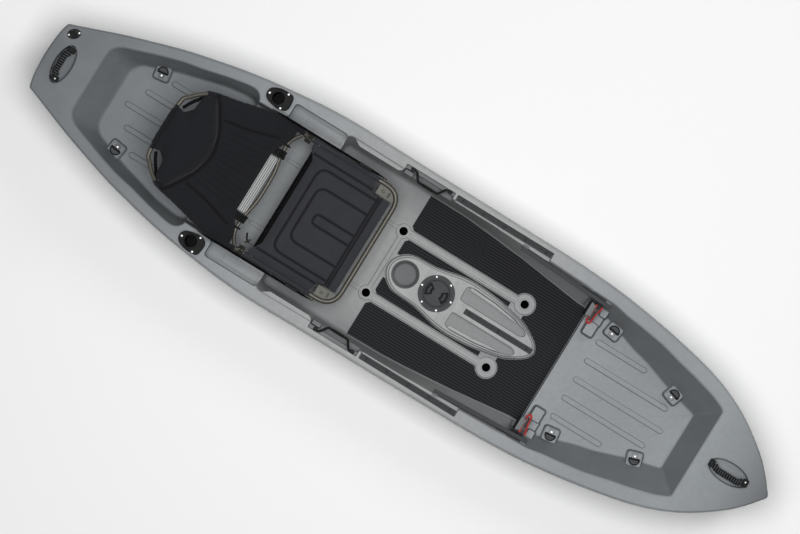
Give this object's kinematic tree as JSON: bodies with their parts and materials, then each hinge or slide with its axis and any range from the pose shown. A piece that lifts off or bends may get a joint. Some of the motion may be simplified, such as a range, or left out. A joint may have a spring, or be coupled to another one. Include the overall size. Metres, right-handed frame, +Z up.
{
  "type": "fishing kayak",
  "caption": "Sit-on-top fishing kayak with a framed folding seat, sliding foot braces, gear tracks, flush rod holders, carry handles and a deck hatch.",
  "frame": {"origin": "on the ground under the middle of the hull's length and beam", "axes": "+X towards the bow, +Y to port, +Z up"},
  "size_m": [3.658, 0.894, 0.5894],
  "materials": {
    "hull_plastic": "lightly textured moulded polyethylene, mottled grey",
    "black_plastic": "moulded black nylon",
    "grey_plastic": "moulded grey nylon",
    "mat_foam": "ribbed closed-cell traction foam",
    "black_fabric": "black woven mesh and polyester over foam",
    "webbing": "woven black webbing",
    "frame_tube": "olive brown powder coat",
    "track_metal": "black anodised",
    "steel": "stainless",
    "white_foam": "closed-cell foam",
    "black_rubber": "moulded black rubber",
    "red_cord": "red braided shock cord"
  },
  "bodies": {
    "hull_and_seat": {"hull": "hull_plastic", "bow_foam_block": "white_foam", "stern_foam_block": "white_foam", "traction_mat": "mat_foam", "port_inner_mat": "mat_foam", "starboard_inner_mat": "mat_foam", "hatch_frame": "black_plastic", "drain_housing": "black_plastic", "pod_gear_track": "track_metal", "port_gear_track": "track_metal", "port_foot_rail": "track_metal", "port_rail_hook": "black_plastic", "port_rod_holder": "black_plastic", "port_handle_stern_bracket": "black_plastic", "port_handle_bow_bracket": "black_plastic", "port_strap_buckle": "black_plastic", "stern_port_tie_down": "black_plastic", "mid_port_tie_down": "black_plastic", "bow_port_tie_down": "black_plastic", "port_paddle_bungee": "red_cord", "port_recline_strap": "webbing", "port_pivot_bolt": "steel", "starboard_gear_track": "track_metal", "starboard_foot_rail": "track_metal", "starboard_rail_hook": "black_plastic", "starboard_rod_holder": "black_plastic", "starboard_handle_stern_bracket": "black_plastic", "starboard_handle_bow_bracket": "black_plastic", "starboard_strap_buckle": "black_plastic", "stern_starboard_tie_down": "black_plastic", "mid_starboard_tie_down": "black_plastic", "bow_starboard_tie_down": "black_plastic", "starboard_paddle_bungee": "red_cord", "starboard_recline_strap": "webbing", "starboard_pivot_bolt": "steel", "bow_handle_first_anchor": "black_plastic", "bow_handle_second_anchor": "black_plastic", "stern_handle_first_anchor": "black_plastic", "stern_handle_second_anchor": "black_plastic", "seat_base_frame": "frame_tube", "seat_front_leg": "frame_tube", "seat_rear_leg": "frame_tube", "seat_pan": "black_fabric"},
    "hatch_seal": {"hatch_o_ring": "black_rubber"},
    "hatch_lid": {"hatch_cover": "black_plastic"},
    "drain_stopper": {"drain_plug": "black_plastic"},
    "bow_handle": {"bow_handle_grip": "black_rubber"},
    "stern_handle": {"stern_handle_grip": "black_rubber"},
    "port_bail": {"port_side_handle": "black_plastic"},
    "starboard_bail": {"starboard_side_handle": "black_plastic"},
    "port_brace": {"port_foot_carriage": "black_plastic", "port_foot_pedal": "grey_plastic"},
    "starboard_brace": {"starboard_foot_carriage": "black_plastic", "starboard_foot_pedal": "grey_plastic"},
    "seat_back": {"seat_back_frame": "frame_tube", "seat_back_panel": "black_fabric", "headrest": "black_fabric"}
  },
  "joints": [
    {"name": "hatch_lift", "type": "slide", "parent": "hull_and_seat", "child": "hatch_seal", "axis": [0, 0, 1], "range_m": [0, 0.12]},
    {"name": "hatch_turn", "type": "hinge", "parent": "hatch_seal", "child": "hatch_lid", "pos_m": [0.156, 0, 0.165], "axis": [0, 0, 1], "range_deg": [-90, 0]},
    {"name": "drain_plug_turn", "type": "hinge", "parent": "hull_and_seat", "child": "drain_stopper", "pos_m": [-1.762, 0.136, 0.36], "axis": [0, 0, 1], "range_deg": [0, 360]},
    {"name": "bow_handle_swing", "type": "hinge", "parent": "hull_and_seat", "child": "bow_handle", "pos_m": [1.62961, 0, 0.38039], "axis": [-0.999, 0, -0.0438], "range_deg": [0, 150]},
    {"name": "stern_handle_swing", "type": "hinge", "parent": "hull_and_seat", "child": "stern_handle", "pos_m": [-1.73481, 0, 0.36248], "axis": [0, 1, 0], "range_deg": [0, 150]},
    {"name": "port_side_handle_swing", "type": "hinge", "parent": "hull_and_seat", "child": "port_bail", "pos_m": [-0.12, 0.404, 0.3223], "axis": [-1, 0, 0], "range_deg": [0, 100]},
    {"name": "starboard_side_handle_swing", "type": "hinge", "parent": "hull_and_seat", "child": "starboard_bail", "pos_m": [-0.12, -0.404, 0.3223], "axis": [1, 0, 0], "range_deg": [0, 100]},
    {"name": "port_brace_slide", "type": "slide", "parent": "hull_and_seat", "child": "port_brace", "axis": [0.9989, -0.0459, 0], "range_m": [-0.34, 0]},
    {"name": "starboard_brace_slide", "type": "slide", "parent": "hull_and_seat", "child": "starboard_brace", "axis": [0.9989, 0.0459, 0], "range_m": [-0.34, 0]},
    {"name": "seat_back_fold", "type": "hinge", "parent": "hull_and_seat", "child": "seat_back", "pos_m": [-0.665, 0, 0.312], "axis": [0, 1, 0], "range_deg": [0, 140]}
  ]
}
